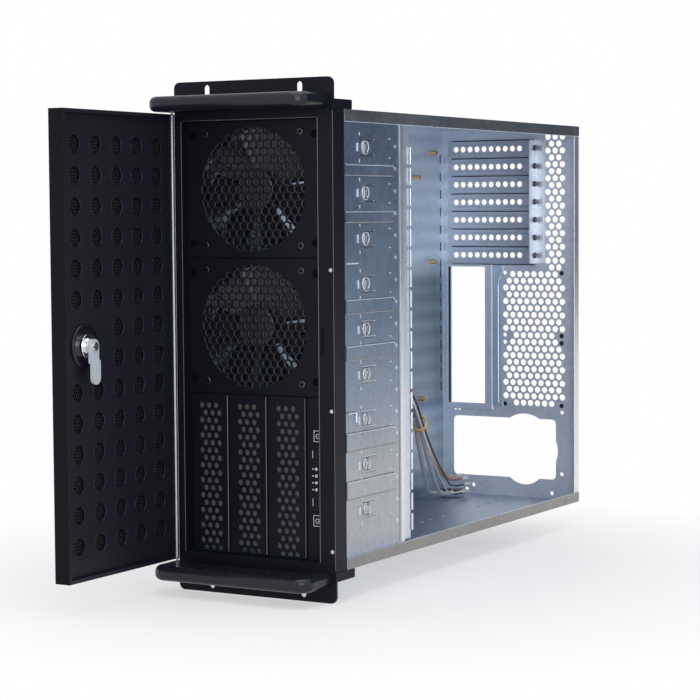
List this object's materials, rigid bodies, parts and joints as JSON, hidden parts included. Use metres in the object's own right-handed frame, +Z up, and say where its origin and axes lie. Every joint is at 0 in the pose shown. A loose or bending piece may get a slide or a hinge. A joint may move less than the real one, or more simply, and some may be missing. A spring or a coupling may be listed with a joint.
{
  "type": "empty rackmount server case",
  "caption": "Empty rack-height server case on its side, with a hinged perforated front door, two front fans, drive bays, rear vents and rack ears with handles.",
  "frame": {"origin": "centre of the lower rack ear's outer edge, which the case stands on", "axes": "+X towards the case's open top side, +Y from the front to the rear, +Z up across the rack width"},
  "size_m": [0.195, 0.718, 0.4826],
  "materials": {
    "black_coat": "fine textured black powder coat",
    "black_plastic": "matt",
    "black_satin": "satin black",
    "black_sheath": "smooth black",
    "brass": "plain",
    "chrome": "bright plated",
    "circuit_board": "solder mask",
    "dark_screw": "blackened",
    "dust_filter": "open black weave",
    "fan_plastic": "matt black",
    "galvanised_steel": "zinc-coated sheet",
    "grey_sheath": "smooth grey",
    "led_lens": "clear",
    "red_sheath": "smooth red",
    "white_sheath": "smooth white",
    "yellow_sheath": "smooth orange yellow",
    "zinc_screw": "zinc plated"
  },
  "bodies": {
    "case": {"bay_bracket_lower": "galvanised_steel", "bay_bracket_upper": "galvanised_steel", "bay_cover_1": "black_coat", "bay_cover_2": "black_coat", "bay_cover_3": "black_coat", "cable_plugs": "black_plastic", "cable_sleeve": "black_sheath", "cable_tie": "yellow_sheath", "cage_top": "galvanised_steel", "control_board": "circuit_board", "control_strip": "black_coat", "ear_lower": "black_coat", "ear_upper": "black_coat", "fan_frame_lower": "fan_plastic", "fan_frame_upper": "fan_plastic", "fan_plate_lower": "black_coat", "fan_plate_upper": "black_coat", "fan_screws": "zinc_screw", "frame_rivets": "zinc_screw", "front_frame": "black_coat", "grey_cable_1": "grey_sheath", "grey_cable_2": "grey_sheath", "handle_lower": "black_satin", "handle_upper": "black_satin", "hook_wires": "zinc_screw", "lead_black": "black_sheath", "lead_plugs": "white_sheath", "lead_red": "red_sheath", "lead_white": "white_sheath", "lead_yellow": "yellow_sheath", "leds": "led_lens", "partition": "galvanised_steel", "plate_screws": "dark_screw", "rear_panel": "galvanised_steel", "slot_cover_1": "galvanised_steel", "slot_cover_2": "galvanised_steel", "slot_cover_3": "galvanised_steel", "slot_cover_4": "galvanised_steel", "slot_cover_5": "galvanised_steel", "slot_cover_6": "galvanised_steel", "slot_cover_7": "galvanised_steel", "slot_screw_rail": "galvanised_steel", "slot_screws": "brass", "standoffs": "brass", "tray": "galvanised_steel", "usb_ports": "zinc_screw"},
    "door": {"door_skin": "black_coat", "door_plate": "black_coat", "door_mesh": "dust_filter", "hinge_pins": "zinc_screw", "lock_boss": "black_satin", "lock_barrel": "chrome"},
    "cam": {"lock_cam": "chrome", "cam_screw": "zinc_screw"},
    "power_switch": {"power_button": "black_plastic"},
    "reset_switch": {"reset_button": "black_plastic"},
    "upper_rotor": {"fan_rotor_upper": "fan_plastic"},
    "lower_rotor": {"fan_rotor_lower": "fan_plastic"}
  },
  "joints": [
    {"name": "door_hinge", "type": "hinge", "parent": "case", "child": "door", "pos_m": [-0.088, -0.0041, 0.2413], "axis": [0, 0, 1], "range_deg": [-20, 90]},
    {"name": "cam_lock", "type": "hinge", "parent": "door", "child": "cam", "pos_m": [-0.082, -0.141, 0.2413], "axis": [1, 0, 0], "range_deg": [-90, 0]},
    {"name": "power_press", "type": "slide", "parent": "case", "child": "power_switch", "axis": [0, 1, 0], "range_m": [0, 0.0015], "stiffness_N_per_m": 300},
    {"name": "reset_press", "type": "slide", "parent": "case", "child": "reset_switch", "axis": [0, 1, 0], "range_m": [0, 0.0015], "stiffness_N_per_m": 300},
    {"name": "upper_fan_spin", "type": "hinge", "parent": "case", "child": "upper_rotor", "pos_m": [-0.005, 0.0195, 0.3815], "axis": [0, 1, 0], "continuous": true},
    {"name": "lower_fan_spin", "type": "hinge", "parent": "case", "child": "lower_rotor", "pos_m": [-0.005, 0.0195, 0.2533], "axis": [0, 1, 0], "continuous": true}
  ]
}
